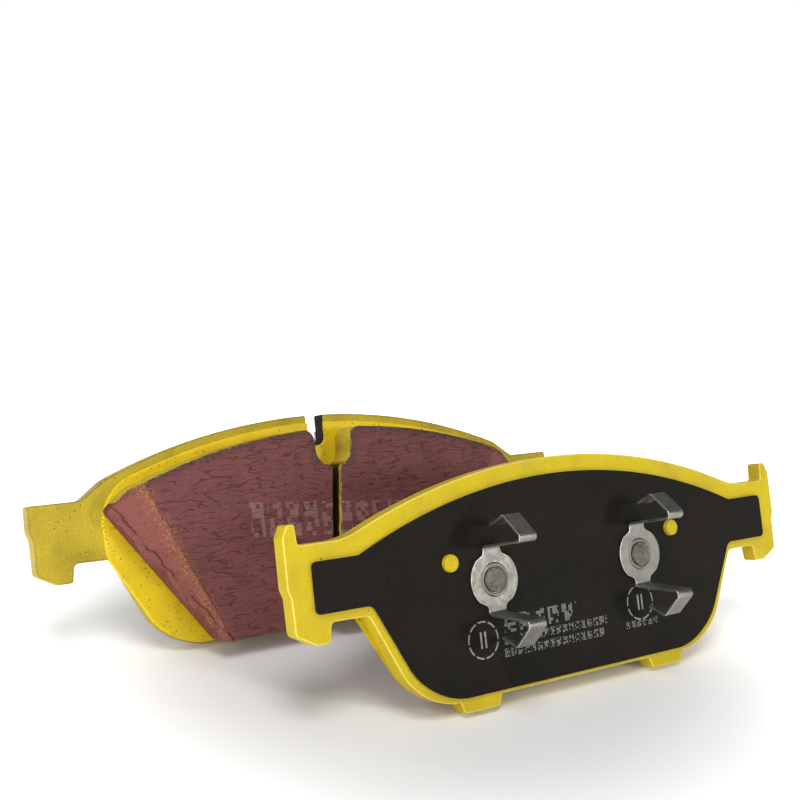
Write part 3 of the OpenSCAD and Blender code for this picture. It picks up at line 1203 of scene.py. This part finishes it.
    def paint_walls(self, blank: Blank, notched: bool) -> None:
        """Gives a block's coated walls and its bare walls their own slots.

        Args:
            blank: the block.
            notched: whether the pad has a notch, whose walls are coated too.
        """
        blank.bm.normal_update()
        for face in blank.bm.faces:
            middle, normal = face.calc_center_median(), face.normal
            if abs(normal.y) > 0.55:
                continue
            high = normal.z > 0.6 and middle.z > 6
            inside = abs(middle.x - self.slot_x(middle.z)) < 2.4
            notch = notched and abs(middle.x) < 9 and middle.z > 8.5
            face.material_index = 1 if high or inside or notch else 2

    def land_trace(self, notched: bool) -> list[Corner | Arch]:
        """Outline of the raised land under the linings.

        Args:
            notched: whether the plate's notch runs through the land.

        Returns:
            Its clockwise trace.
        """
        right = [Corner(75.6, 10.6, 15), Corner(74.8, -9.6, 9), Corner(57.3, -39.3, 20)]
        top, edge = self.land_top, self.land_edge
        radius = self.arch_radius - self.arch_top + top
        if not notched:
            return [Arch(radius, top, -edge, edge), *both_sides(right)]
        return [*self.split_arch(radius, top, edge, 40), *both_sides(right)]

    def split_arch(self, radius: float, top: float, edge: float,
                   steps: int) -> list[Corner | Arch]:
        """An arched top that the plate's notch splits in two.

        Args:
            radius: radius of the arch.
            top: crown of the arch.
            edge: where the arch ends on each side.
            steps: segments of each half.

        Returns:
            The left half, the notch and the right half.
        """
        lip = self.notch_width / 2 + self.notch_lip
        return [Arch(radius, top, -edge, -lip, steps), *self.notch(radius, top),
                Arch(radius, top, lip, edge, steps)]

    def notch(self, radius: float, top: float) -> list[Corner]:
        """Corners of the top notch, from its left lip to its right lip.

        Args:
            radius: radius of the arch that it opens.
            top: crown of that arch.

        Returns:
            The corners in order.
        """
        half, low = self.notch_width / 2, self.arch_top - self.notch_depth
        brow = height_on(radius, top, half)
        return [Corner(-half, brow, 0.6), Corner(-half, low, half * 0.98),
                Corner(half, low, half * 0.98), Corner(half, brow, 0.6)]

    def build_land(self, notched: bool, finish: bpy.types.Material) -> None:
        """Builds the coated land under the linings.

        Args:
            notched: whether the plate's notch runs through it.
            finish: its coat.
        """
        blank = Blank()
        outer = self.depth(self.land_thickness)
        blank.thicken(blank.outline(self.land_trace(notched), self.depth(0)),
                      outer - self.depth(0))
        blank.soften(outer, 0.94, 6)
        piece = blank.piece(f"{self.word}_land", self.place, [finish], crisp=50)
        self.place_piece(piece, f"{self.word}_underlayer", Slot.UNDERLAYER)

    def add_pips(self, blank: Blank) -> None:
        """Adds the two pressed pips that stand through the shim.

        Args:
            blank: the plate.
        """
        for side in Side:
            deep, tall = self.shim_depth(-1.0), self.shim_depth(self.pip_height)
            back = 1.0 if tall > deep else -1.0
            r = self.pip_radius
            profile = [(0.0, deep), (r, deep), (r, tall - back * 0.9),
                       (r - 0.14, tall - back * 0.42), (r - 0.5, tall - back * 0.1),
                       (r - 1.0, tall), (r - 1.6, tall - back * 0.06), (0.0, tall - back * 0.12)]
            blank.turned(profile, side.value * self.pip_x, self.pip_z, 48)

    def build_shim(self, trace: Sequence[Corner | Arch], rubber: bpy.types.Material,
                   steel: bpy.types.Material) -> None:
        """Builds the steel core and the rubber face of the shim.

        Args:
            trace: clockwise outline.
            rubber: finish of the face.
            steel: finish of the core.
        """
        near, far = self.shim_depth(0.0), self.shim_depth(self.shim_core)
        core = Blank()
        core.slab(trace, near, far)
        self.place_piece(core.piece(f"{self.word}_shim_steel", self.place, [steel]),
                         f"{self.word}_shim_core", Slot.SHIM_STEEL)
        near, far = far, self.shim_depth(self.shim_thickness)
        coating = Blank()
        face = coating.outline(trace, near)
        border = bmesh.ops.inset_region(coating.bm, faces=[face], thickness=self.rubber_inset,
                                        use_even_offset=True)
        bmesh.ops.delete(coating.bm, geom=border["faces"], context="FACES")
        coating.thicken(face, far - near)
        coating.soften(far, self.rubber_rim, 2)
        self.place_piece(coating.piece(f"{self.word}_shim_rubber", self.place, [rubber]),
                         f"{self.word}_shim_coating", Slot.RUBBER)

    def build_lining_side(self, notched: bool, land: Finish, face: Finish,
                          wall: bpy.types.Material | None = None) -> None:
        """Builds the land and both lining blocks.

        Args:
            notched: whether the pad has a notch.
            land: coat of the land.
            face: finish of the friction faces.
            wall: finish of the blocks' coated walls, or none for the land's.
        """
        coat = self.dress("land_coat", land)
        # the bare walls are a little darker than the face: painted shade
        bare = LiningFinish(drop=self.lining_drop, colour=(0.19, 0.05, 0.05),
                            bevel=(0.19, 0.05, 0.05), creased=0.0, speckled=0.4)
        finishes = [self.dress("friction", face), wall or coat,
                    self.dress("friction_side", bare)]
        self.build_land(notched, coat)
        for side in Side:
            self.build_block(side, notched, finishes)


@dataclass
class InnerPad(BrakePad):
    """The pad on the piston side, with its springs and feet."""

    ear_top: float = 11.4
    hook_top: float = 17.2
    foot_drop: float = 3.4
    arm_end: float = 89.2
    arm_top: float = 6.5
    arm_bottom: float = -7.8

    def plate_trace(self) -> list[Corner | Arch]:
        """Outline of the plate with its upright hooks and two feet.

        Returns:
            Its clockwise trace.
        """
        w, low, sole = self.half_width, -self.bottom_drop, -self.bottom_drop - self.foot_drop
        lift = self.arch_radius - self.arch_top + self.ear_top
        shoulder = math.sqrt(self.arch_radius ** 2 - lift ** 2)
        right = [Corner(shoulder, self.ear_top, 22), Corner(w - 4.3, self.ear_top, 1),
                 Corner(w - 3.9, self.hook_top, 0.8), Corner(w - 1.6, self.hook_top, 0.8),
                 Corner(w, self.hook_top - 3.4, 1), *self.lower_corners(),
                 Corner(44.9, low, 0), Corner(43.7, sole, 1.5), Corner(31, sole, 1.5),
                 Corner(29.8, low, 0.8)]
        return [Arch(self.arch_radius, self.arch_top, 5.3 - shoulder, shoulder - 5.3, 104),
                *both_sides(right)]

    def shim_trace(self) -> list[Corner | Arch]:
        """Outline of the shim with its two side arms.

        Returns:
            Its clockwise trace.
        """
        lift = self.shim_radius - self.shim_top + self.arm_top
        edge = math.sqrt(self.shim_radius ** 2 - lift ** 2)
        right = [Corner(self.arm_end, self.arm_top, 1.6),
                 Corner(self.arm_end, self.arm_bottom, 1.6),
                 Corner(71.3, self.arm_bottom, 2.5), Corner(55.4, -38.7, 22)]
        return [Arch(self.shim_radius, self.shim_top, -edge, edge, 96), *both_sides(right)]

    def build(self) -> None:
        """Builds and dresses the inner pad."""
        coat = self.dress("powder_coat", CoatFinish(
            amount=0.8, pit_share=0.12, pit_radius=0.28, grain=0.85, depth=0.2))
        # the rim bevels get a brighter, glossier coat: a painted highlight
        edge = self.dress("edge_painted_light", CoatFinish(
            colour=(0.84, 0.66, 0.06), shade=(0.70, 0.52, 0.03), glow=(0.95, 0.83, 0.30),
            amount=0.9, pit_share=0.04, gloss=(0.22, 0.42), shine=0.45, depth=0.05))
        blank = Blank()
        blank.slab(self.plate_trace(), 0.0, self.plate_thickness, 0.55, 3, 1)
        self.add_pips(blank)
        self.place_piece(blank.piece("inner_plate", self.place, [coat, edge]),
                         "inner_backing_plate", Slot.COATING)
        self.build_lining_side(
            False, CoatFinish(shade=(0.34, 0.23, 0.03), amount=0.9, pit_share=0.3),
            LiningFinish(drop=self.lining_drop))
        rows = (PrintRow(-27.8, -22.6, 29.0, 5.2, 5.6, 0.92),
                PrintRow(-28.0, -26.0, 41.0, 2.5, 2.5, 0.46),
                PrintRow(-28.4, -29.6, 40.0, 2.5, 2.5, 0.46),
                PrintRow(20.4, -29.2, 14.6, 2.1, 2.4, 0.46))
        rings = (PrintRing(-35.3, -23.3, 5.3), PrintRing(27.7, -21.6, 5.4))
        self.build_shim(self.shim_trace(),
                        self.dress("shim_face", RubberFinish(marks=rows, rings=rings)),
                        self.dress("shim_edge", SteelFinish(colour=(0.62, 0.60, 0.52))))


@dataclass
class OuterPad(BrakePad):
    """The pad on the far side of the disc, with its notch."""

    body: str = "outer_pad"
    word: str = "outer"
    lining_drop: float = 39.2
    lining_side: float = -1.0
    ear_top: float = 7.7

    def plate_trace(self) -> list[Corner | Arch]:
        """Outline of the plate with its steeper shoulders and top notch.

        Returns:
            Its clockwise trace.
        """
        right = [Corner(80.6, self.ear_top, 3.0), Corner(self.half_width, self.ear_top, 1),
                 *self.lower_corners()]
        return [*self.split_arch(self.arch_radius, self.arch_top, 73.2, 60),
                *both_sides(right)]

    def shim_trace(self) -> list[Corner | Arch]:
        """Outline of the shim with its top notch."""
        right = [Corner(68, -7.8, 3), Corner(53, -38.7, 22)]
        return [*self.split_arch(self.shim_radius, self.shim_top, 68, 48), *both_sides(right)]

    def build(self) -> None:
        """Builds and dresses the outer pad."""
        coat = self.dress("powder_coat", CoatFinish(
            colour=(0.60, 0.445, 0.035), shade=(0.43, 0.31, 0.028), amount=0.95,
            pit_share=0.5, pit_radius=0.26, pit_cell=1.8, grain=1.2, waves=0.9, depth=0.26))
        # the rim bevels get a darker coat: painted shade
        edge = self.dress("edge_painted_light", CoatFinish(
            colour=(0.40, 0.29, 0.03), shade=(0.22, 0.15, 0.02), amount=0.9,
            glow=(0.74, 0.60, 0.10), pit_share=0.25, grain=0.9))
        # near-black coat for the notch's walls: painted shade in the notch
        notch_shade = self.dress("notch_painted_shade", CoatFinish(
            colour=(0.012, 0.010, 0.006), shade=(0.007, 0.006, 0.004),
            glow=(0.05, 0.037, 0.01), shine=0.04))
        blank = Blank()
        blank.slab(self.plate_trace(), 0.0, self.plate_thickness, 0.5, 3, 1)
        # the notch's walls take the painted shade
        for part in blank.bm.faces:
            middle = part.calc_center_median()
            if abs(middle.x) < 3.6 and middle.z > 17 and abs(part.normal.y) < 0.9:
                part.material_index = 2
        self.add_pips(blank)
        self.place_piece(blank.piece("outer_plate", self.place, [coat, edge, notch_shade]),
                         "outer_backing_plate", Slot.COATING)
        marks = (PrintRow(-32.6, -9.0, 57.0, 10.8, 6.3, 1.45, -0.09),)
        # the wall coat goes black deep inside the slot: painted shade
        self.build_lining_side(
            True, CoatFinish(colour=(0.88, 0.64, 0.02), amount=0.3, pit_share=0.95,
                             pit_cell=1.45, pit_radius=0.25, grain=0.5, dotted_line=True),
            LiningFinish(drop=self.lining_drop, marks=marks, notched=1.0),
            self.dress("wall_coat", CoatFinish(
                colour=(0.62, 0.46, 0.05), shade=(0.34, 0.22, 0.04), amount=0.8,
                pit_share=0.6, grain=0.6, depth=0.15, slot_shade_depth=-9.9)))
        rows = (PrintRow(-20.0, -20.0, 40.0, 2.6, 2.6, 0.46),)
        self.build_shim(self.shim_trace(), self.dress("shim_face", RubberFinish(marks=rows)),
                        self.dress("shim_edge", SteelFinish(colour=(0.62, 0.60, 0.52))))


# ---- piston springs ----------------------------------------------------------


@dataclass
class PistonSpring:
    """A riveted seat with two bent strip legs that snap into the piston."""

    place: PadFrame
    side: Side
    clip_x: float = 29.4
    clip_z: float = -6.4
    ring_radius: float = 8.6
    width: float = 6.3
    thickness: float = 0.8
    shim_face: float = -1.0
    bend: float = 10.0
    bend_radius: float = 1.2
    neck: float = 8.9
    shoulder: float = 7.6
    collar_radius: float = 4.0
    rivet_radius: float = 3.6
    leg_reach: float = -21.2
    flex_start: float = -1.7
    flex_end: float = -4.1

    @property
    def x(self) -> float:
        """Middle of the spring along the pad."""
        return self.side.value * self.clip_x

    @property
    def word(self) -> str:
        """Name of the side in piece names."""
        return self.side.word

    def ring_trace(self) -> list[Corner | Arch]:
        """Outline of the seat: a disc whose shoulders narrow into the two necks.

        Returns:
            Its clockwise trace.
        """
        half, meet = self.width / 2, math.asin(0.70)
        wide, turn = half + 0.15, math.pi - 2 * meet
        upper = [Corner(-half, self.neck), Corner(half, self.neck),
                 Corner(wide, self.shoulder, 1.5)]
        lower = [Corner(wide, -self.shoulder, 1.5), Corner(half, -self.neck),
                 Corner(-half, -self.neck), Corner(-wide, -self.shoulder, 1.5)]
        right = Arch(self.ring_radius, 0, meet, 0, 28, turn)
        left = Arch(self.ring_radius, 0, math.pi + meet, 0, 28, turn)
        return [*upper, right, *lower, left, Corner(-wide, self.shoulder, 1.5)]

    def build_ring(self, finishes: Sequence[bpy.types.Material]) -> None:
        """Builds the flat seat with its pressed collar.

        Args:
            finishes: finish of the strip's faces, then of its cut edges.
        """
        blank = Blank()
        top = self.shim_face - self.thickness
        blank.slab(self.ring_trace(), self.shim_face, top, 0.16, 2, 1)
        root = self.collar_radius
        collar = [(root, top + 0.3), (4.05, top - 0.2), (4.25, top - 0.38), (4.5, top - 0.42),
                  (4.8, top - 0.34), (5.05, top - 0.12), (5.2, top + 0.3), (root, top + 0.3)]
        blank.turned(collar, 0.0, 0.0, 72)
        bmesh.ops.translate(blank.bm, vec=(self.x, 0, self.clip_z), verts=blank.bm.verts)
        piece = blank.piece(f"{self.word}_spring_seat", self.place, finishes, crisp=40)
        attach(piece, "inner_pad")
        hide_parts(f"{self.word}_clip_ring")

    def build_rivet(self, steel: bpy.types.Material) -> None:
        """Builds the rivet's peened end, hammered rough.

        Args:
            steel: finish of the rivet.
        """
        blank = Blank()
        base = self.shim_face - self.thickness
        low, high = base + 0.4, base - 0.75
        rings = 9
        dome = [(self.rivet_radius * i / rings, high - 0.28 * (1 - (i / rings) ** 2))
                for i in range(rings + 1)]
        profile = [*dome, (3.76, high + 0.35), (3.8, low), (0.0, low)]
        blank.turned(profile, 0.0, 0.0, 56)
        for vert in blank.bm.verts:
            if vert.co.y < high + 0.2:
                away = math.hypot(vert.co.x, vert.co.z)
                hammered = noise.noise(vert.co * 1.2 + Vector((self.x, 3, 7)))
                grit = noise.noise(vert.co * 3.1 + Vector((self.x, 9, 1)))
                vert.co.y += (0.26 * hammered + 0.14 * grit) * min(1.0, away / 0.5)
                edge = 1 + 0.03 * hammered
                vert.co.x, vert.co.z = vert.co.x * edge, vert.co.z * edge
        bmesh.ops.translate(blank.bm, vec=(self.x, 0, self.clip_z), verts=blank.bm.verts)
        piece = blank.piece(f"{self.word}_rivet_end", self.place, [steel], crisp=50,
                            weighted=False)
        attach(piece, "inner_pad")
        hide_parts(f"{self.word}_clip_rivet")

    def leg_path(self) -> list[tuple[Vector, float]]:
        """Centre line of a neck and leg.

        Returns:
            Points (0, y, distance from the ring's centre), each with its bend radius.
        """
        mid, out = self.shim_face - self.thickness / 2, self.bend
        return [(Vector((0, mid, self.neck - 0.15)), 0.0),
                (Vector((0, mid, out)), self.bend_radius),
                (Vector((0, self.leg_reach, out + 1.4)), 1.25),
                (Vector((0, -12.7, out + 8.8)), 1.3),
                (Vector((0, -6.4, out + 6.4)), 0.0)]

    def build_leg(self, leg: Leg, finishes: Sequence[bpy.types.Material]) -> None:
        """Builds one strip leg by extruding and spinning its rounded section.

        Args:
            leg: upper or lower leg.
            finishes: finish of the strip's faces, then of its cut edges.
        """
        blank = Blank()
        half, thin = self.width / 2, self.thickness / 2
        section = [Corner(-half, thin, 0.22), Corner(half, thin, 0.22),
                   Corner(half, -thin, 0.22), Corner(-half, -thin, 0.22)]
        face = blank.outline(section)
        path = self.leg_path()
        bmesh.ops.rotate(blank.bm, matrix=Matrix.Rotation(math.radians(90), 3, "X"),
                         verts=list(face.verts))
        bmesh.ops.translate(blank.bm, vec=path[0][0], verts=list(face.verts))
        here = path[0][0]
        for (before, _), (corner, radius), (after, _) in zip(path, path[1:], path[2:]):
            u, v = (corner - before).normalized(), (after - corner).normalized()
            turn = u.angle(v)
            set_back = radius * math.tan(turn / 2)
            tangent = corner - u * set_back
            face = self.draw_out(blank, face, tangent - here)
            side = (v - u * u.dot(v)).normalized()
            axis = u.cross(side).normalized()
            made = bmesh.ops.spin(blank.bm, geom=[face], cent=tangent + side * radius,
                                  axis=axis, dvec=(0, 0, 0), angle=turn, steps=10,
                                  use_merge=False, use_duplicate=False)
            face = next(g for g in made["geom_last"] if isinstance(g, bmesh.types.BMFace))
            here = corner + v * set_back
        self.draw_out(blank, face, path[-1][0] - here)
        bmesh.ops.remove_doubles(blank.bm, verts=blank.bm.verts, dist=1e-4)
        if leg is Leg.LOWER:
            bmesh.ops.scale(blank.bm, vec=(1, 1, -1), verts=blank.bm.verts)
        bmesh.ops.recalc_face_normals(blank.bm, faces=blank.bm.faces)
        for part in blank.bm.faces:
            part.material_index = 1 if abs(part.calc_center_median().x) > half - 0.16 else 0
        bmesh.ops.translate(blank.bm, vec=(self.x, 0, self.clip_z), verts=blank.bm.verts)
        piece = blank.piece(f"{self.word}_{leg.word}_leg", self.place, finishes, crisp=50,
                            weighted=False)
        height = self.clip_z + leg.value * self.bend
        start = self.place.point(self.x, self.flex_start, height)
        end = self.place.point(self.x, self.flex_end, height)
        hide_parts(f"{self.word}_clip_{leg.word}_leg")
        f"{self.word}_{leg.word}_leg"
        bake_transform(piece)

    @staticmethod
    def draw_out(blank: Blank, face: bmesh.types.BMFace, move: Vector) -> bmesh.types.BMFace:
        """Extrudes a face along a straight stretch.

        Args:
            blank: the leg.
            face: the end of the leg so far.
            move: the stretch.

        Returns:
            The new end.
        """
        made = bmesh.ops.extrude_face_region(blank.bm, geom=[face])
        verts = [g for g in made["geom"] if isinstance(g, bmesh.types.BMVert)]
        bmesh.ops.translate(blank.bm, vec=move, verts=verts)
        return next(g for g in made["geom"] if isinstance(g, bmesh.types.BMFace))

    def build(self, strip: Sequence[bpy.types.Material], rivet: bpy.types.Material) -> None:
        """Builds the seat, the rivet end and both legs.

        Args:
            strip: finish of the strip's faces, then of its cut edges.
            rivet: finish of the rivet.
        """
        self.build_ring(strip)
        self.build_rivet(rivet)
        for leg in Leg:
            self.build_leg(leg, strip)


# ---- studio ------------------------------------------------------------------


@dataclass(frozen=True)
class Lamp:
    """A soft round box: azimuth 0 is in front and 90 to the right, in degrees."""

    name: str
    azimuth: float
    elevation: float
    distance: float
    size: float
    power: float

    def build(self, target: Vector) -> None:
        """Adds the lamp, facing a point.

        Args:
            target: point it faces.
        """
        light = bpy.data.lights.new(self.name, "AREA")
        light.shape, light.size, light.energy = "DISK", self.size, self.power
        a, e = math.radians(self.azimuth), math.radians(self.elevation)
        toward = Vector((math.sin(a) * math.cos(e), -math.cos(a) * math.cos(e), math.sin(e)))
        lamp = bpy.data.objects.new(self.name, light)
        lamp.location = target + toward * self.distance
        lamp.rotation_euler = toward.to_track_quat("Z", "Y").to_euler()
        bpy.context.scene.collection.objects.link(lamp)


@dataclass
class Studio:
    """Pale floor, soft lights and the camera, in metres."""

    camera_at: tuple[float, float, float] = (-0.221114, -0.285872, 0.179396)
    look_at: tuple[float, float, float] = (-0.023753, 0.0, 0.083782)
    roll: float = 6.316
    lens: float = 54.76
    floor_radius: float = 6.0
    floor_tone: float = 0.93
    middle: tuple[float, float, float] = (0.0, 0.0, 0.035)
    surround: float = 0.17
    lamps: tuple[Lamp, ...] = (
        Lamp("key", 31, 20, 0.9, 0.12, 1.9),
        Lamp("left_fill", -64, 20, 0.75, 0.45, 1.7),
        Lamp("overhead", -42, 64, 1.1, 0.5, 4.9),
        Lamp("rear_fill", 185, 35, 1.1, 0.8, 1.6))

    def build_floor(self) -> None:
        """Lays a wide white floor that glows away from the pads, so it fades to white."""
        bm = bmesh.new()
        bmesh.ops.create_circle(bm, cap_ends=True, radius=self.floor_radius, segments=96)
        mesh = bpy.data.meshes.new("studio_floor")
        bm.to_mesh(mesh)
        bm.free()
        material = bpy.data.materials.new("studio_white")
        material.use_nodes = True
        g = Graph(material.node_tree)
        shader = material.node_tree.nodes["Principled BSDF"]
        shader.inputs["Base Color"].default_value = (*[self.floor_tone] * 3, 1)
        shader.inputs["Roughness"].default_value = 0.7
        shader.inputs["Specular IOR Level"].default_value = 0.2
        away = g.node("VectorMath", {0: g.node("TexCoord").outputs["Object"]},
                      operation="LENGTH").outputs["Value"]
        glow = g.steps(away, 0.06, 0.18, 0.03, 1.0)
        shader.inputs["Emission Strength"].default_value = 1.0
        g.feed(shader.inputs["Emission Color"], g.mix(glow, (0, 0, 0), (1, 1, 1)))
        mesh.materials.append(material)
        floor = bpy.data.objects.new("studio_floor", mesh)
        bpy.context.scene.collection.objects.link(floor)

    def build_lights(self) -> None:
        """Lights the set: one low key from the right, fills and a white surround."""
        for lamp in self.lamps:
            lamp.build(Vector(self.middle))
        world = bpy.data.worlds.new("studio_surround")
        bpy.context.scene.world = world
        world.use_nodes = True
        g = Graph(world.node_tree)
        sight = g.node("LightPath").outputs["Is Camera Ray"]
        strength = g.node("MapRange", {"Value": sight, "To Min": self.surround, "To Max": 1.0})
        ground = world.node_tree.nodes["Background"]
        ground.inputs[0].default_value = (1, 1, 1, 1)
        g.feed(ground.inputs[1], strength.outputs[0])

    def build_camera(self) -> None:
        """Sets the camera, level but for its roll, with everything sharp."""
        data = bpy.data.cameras.new("camera")
        data.lens, data.sensor_width = self.lens, 36.0
        data.clip_start, data.clip_end = 0.01, 50
        camera = bpy.data.objects.new("camera", data)
        camera.location = self.camera_at
        sight = Vector(self.look_at) - Vector(self.camera_at)
        aim = sight.to_track_quat("-Z", "Y").to_matrix()
        turn = Matrix.Rotation(math.radians(self.roll), 3, "Z")
        camera.rotation_euler = (aim @ turn).to_euler()
        bpy.context.scene.collection.objects.link(camera)
        bpy.context.scene.camera = camera

    def build(self) -> None:
        """Builds the whole set."""
        self.build_camera()
        self.build_floor()
        self.build_lights()
        bpy.context.scene.view_settings.view_transform = "Standard"


def main() -> None:
    """Builds the pads, the springs and the studio, logging each piece's face count as it is made.
    """
    logging.basicConfig(level=logging.INFO, format="%(name)s %(message)s")
    Studio().build()
    shelf = EffectShelf()
    inner_abutments, outer_abutments = Vector((0, 2.75, 6.8)), Vector((0, 2.75, 3.4))
    inner_place = PadFrame.of("inner", inner_abutments)
    outer_place = PadFrame.of("outer", outer_abutments)
    InnerPad(place=inner_place, shelf=shelf).build()
    OuterPad(place=outer_place, shelf=shelf).build()
    strip = SteelFinish(colour=(0.27, 0.265, 0.23), shade=(0.21, 0.205, 0.178),
                        roughness=(0.40, 0.54)).material("spring_strip", inner_place, shelf)
    cut = SteelFinish(colour=(0.72, 0.71, 0.64), shade=(0.55, 0.54, 0.47),
                      roughness=(0.30, 0.42)).material("spring_cut_edge", inner_place, shelf)
    rivet = SteelFinish(colour=(0.24, 0.225, 0.18), shade=(0.12, 0.11, 0.085), depth=0.16,
                        roughness=(0.45, 0.65), dirt=0.65).material(
        "rivet_end_steel", inner_place, shelf)
    for side in Side:
        PistonSpring(place=inner_place, side=side).build([strip, cut], rivet)
        LOG.info("%s spring built", side.word)


if __name__ == "__main__":
    main()
